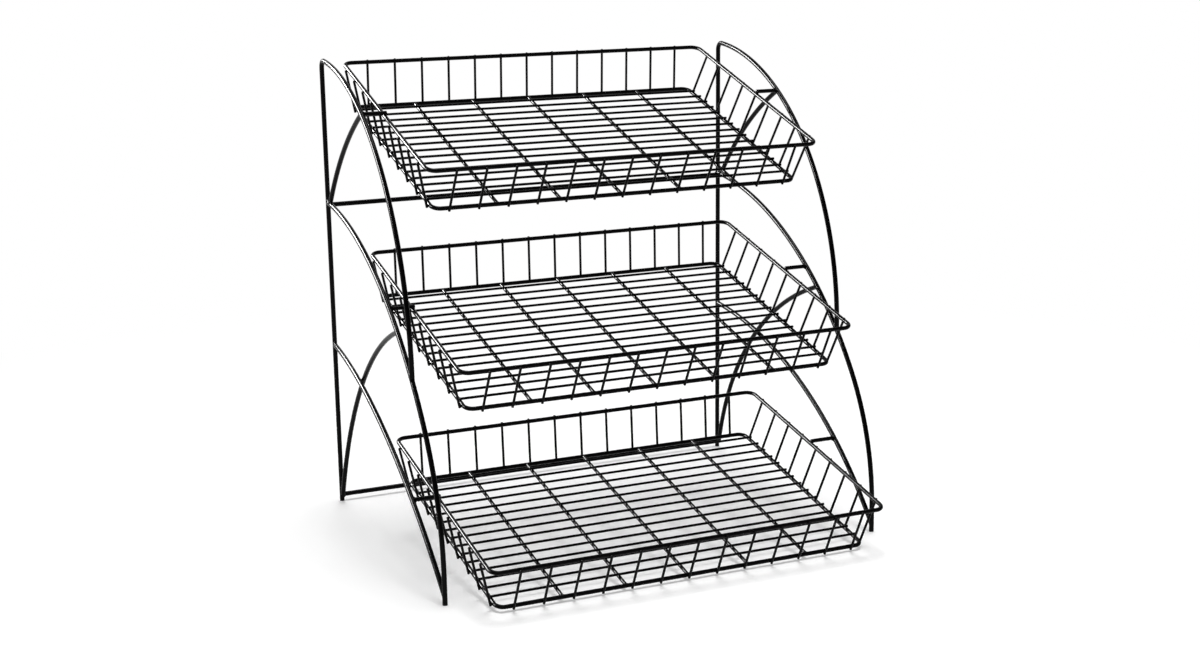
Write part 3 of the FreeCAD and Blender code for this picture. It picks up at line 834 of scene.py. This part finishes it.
# A bead laid in a groove: an ellipsoid whose rings shrink by the cosine of the latitude.
def addFootWelds(setup):
    latitude = np.linspace(-setup["lastRing"], setup["lastRing"], setup["rings"]) * math.pi
    t = roundSteps(setup["steps"])
    width = (setup["halfWidth"] * np.cos(latitude))[:, None]
    rise = (setup["halfLength"] * np.sin(latitude))[:, None]
    ring = np.broadcast_arrays(width * np.cos(t), width * np.sin(t), rise)
    ring = np.stack(ring, axis=-1)
    forward = (sideFrame["lowerBraceFoot"][0] + setup["braceShift"]) / 2
    places = np.array([
        (side * sideFrame["halfWidth"] + face * setup["out"], rearY - forward, setup["height"])
        for side in (-1, 1) for face in (-1, 1)
    ])
    pole = setup["halfLength"] * zWay
    points = places[:, None, None, :] + ring
    addShells("lowerBraceFootWelds", points, places - pole, places + pole, frameFinish)


addFootWelds(footWeld)
print("pegs and brace feet finished")

plainWhite = (1.0, 1.0, 1.0)
sweep = {
    "halfSize": 14.0,
    "colour": 0.95,
    "nearGlow": 0.30,       # plain white added to the floor round the rack, 1 far from it
    "nearShare": 0.84,      # how much of the light and shade the floor shows there
    "radii": (0.7, 1.5),    # it shows less outside the first, and is plain white from the second
}
room = {
    "light": 0.38,          # what the world gives to all that isn't seen directly
    "dark": 0.06,           # how light the gloss sees the room on the front side
    "edges": (0.25, 1.0),   # rearward part of a way: the room up to the first, then it lightens
}


# The light path's outputs, and 1 for a ray that comes from the lens or the gloss.
def seenRays(tree):
    ray = addNode(tree, "LightPath").outputs
    seen = mathOf(tree, "ADD", ray["Is Camera Ray"], ray["Is Glossy Ray"], use_clamp=True)
    return ray, seen


def addFloor(setup):
    half = setup["halfSize"]
    mesh = bpy.data.meshes.new("studioFloor")
    corners = [(-half, -half, 0), (half, -half, 0), (half, half, 0), (-half, half, 0)]
    mesh.from_pydata(corners, [], [(0, 1, 2, 3)])
    material = bpy.data.materials.new("whiteSweep")
    tree = emptyTree(material)
    _, seen = seenRays(tree)
    place = addNode(tree, "TexCoord").outputs["Object"]
    distance = addNode(tree, "VectorMath", {0: place}, operation="LENGTH").outputs["Value"]

    # a value of the floor by the distance from the rack
    def faded(near, far):
        return rangeOf(
            tree, distance, setup["radii"], (near, far), interpolation_type="SMOOTHSTEP"
        )

    # the lens and the gloss see the sweep white, the light that it gives back stays plain
    share = faded(setup["nearShare"] * setup["colour"], 0.0)
    level = mixOf(tree, seen, setup["colour"], share)
    glow = mathOf(tree, "MULTIPLY", seen, faded(setup["nearGlow"], 1.0))
    shade = addNode(tree, "BsdfDiffuse", {"Color": level}).outputs["BSDF"]
    white = addNode(tree, "Emission", {"Color": plainWhite, "Strength": glow})
    both = addNode(tree, "AddShader", {0: shade, 1: white.outputs["Emission"]})
    addNode(tree, "OutputMaterial", {"Surface": both.outputs["Shader"]})
    mesh.materials.append(material)
    floor = addToScene("studioFloor", mesh)


def addWorld(setup):
    world = bpy.data.worlds.new("studioWorld")
    bpy.context.scene.world = world
    tree = emptyTree(world)
    ray, seen = seenRays(tree)

    # the sweep behind the rack is white in the gloss too, the room in front of it dimmer
    way = addNode(tree, "TexCoord").outputs["Generated"]
    rearward = addNode(tree, "SeparateXYZ", {"Vector": way}).outputs["Y"]
    share = rangeOf(tree, rearward, setup["edges"], (setup["dark"], 1.0))
    level = mathOf(tree, "MAXIMUM", share, ray["Is Camera Ray"])
    light, white = (
        addNode(tree, "Background", {"Color": plainWhite, "Strength": strength})
        for strength in (setup["light"], level)
    )
    backgrounds = {1: light.outputs["Background"], 2: white.outputs["Background"]}
    mix = addNode(tree, "MixShader", {"Fac": seen, **backgrounds})
    addNode(tree, "OutputWorld", {"Surface": mix.outputs["Shader"]})


keyLight = {
    "place": (0.11, 0.12, 1.0),     # the direction that it comes from
    "strength": 1.95,
    "angle": 24.0,
}
stripLight = {
    "place": (-2.1, 1.55, 1.70),    # m
    "aim": (0.0, 0.0, 0.35),
    "long": 3.1,
    "high": 0.60,
    "radiance": 190.0,
}


def addLamp(name, kind, place, aim):
    lamp = addToScene(name, bpy.data.lights.new(name, kind))
    back = (Vector(place) - Vector(aim)).normalized()
    turn = back.to_track_quat("Z", "Y").to_matrix().to_4x4()
    lamp.matrix_world = Matrix.Translation(place) @ turn
    return lamp


def addKey(setup):
    lamp = addLamp("keyLight", "SUN", setup["place"], (0, 0, 0))
    lamp.data.energy = setup["strength"]
    lamp.data.angle = math.radians(setup["angle"])


# A long soft strip behind the left side. It only gives the gloss its highlights.
# Its power is radiance * pi * area.
def addStrip(setup):
    lamp = addLamp("stripLight", "AREA", setup["place"], setup["aim"])
    lamp.data.shape = "RECTANGLE"
    lamp.data.size = setup["long"]
    lamp.data.size_y = setup["high"]
    lamp.data.energy = setup["radiance"] * math.pi * setup["long"] * setup["high"]
    lamp.visible_diffuse = False


addFloor(sweep)
addWorld(room)
addKey(keyLight)
addStrip(stripLight)
print("studio ready")
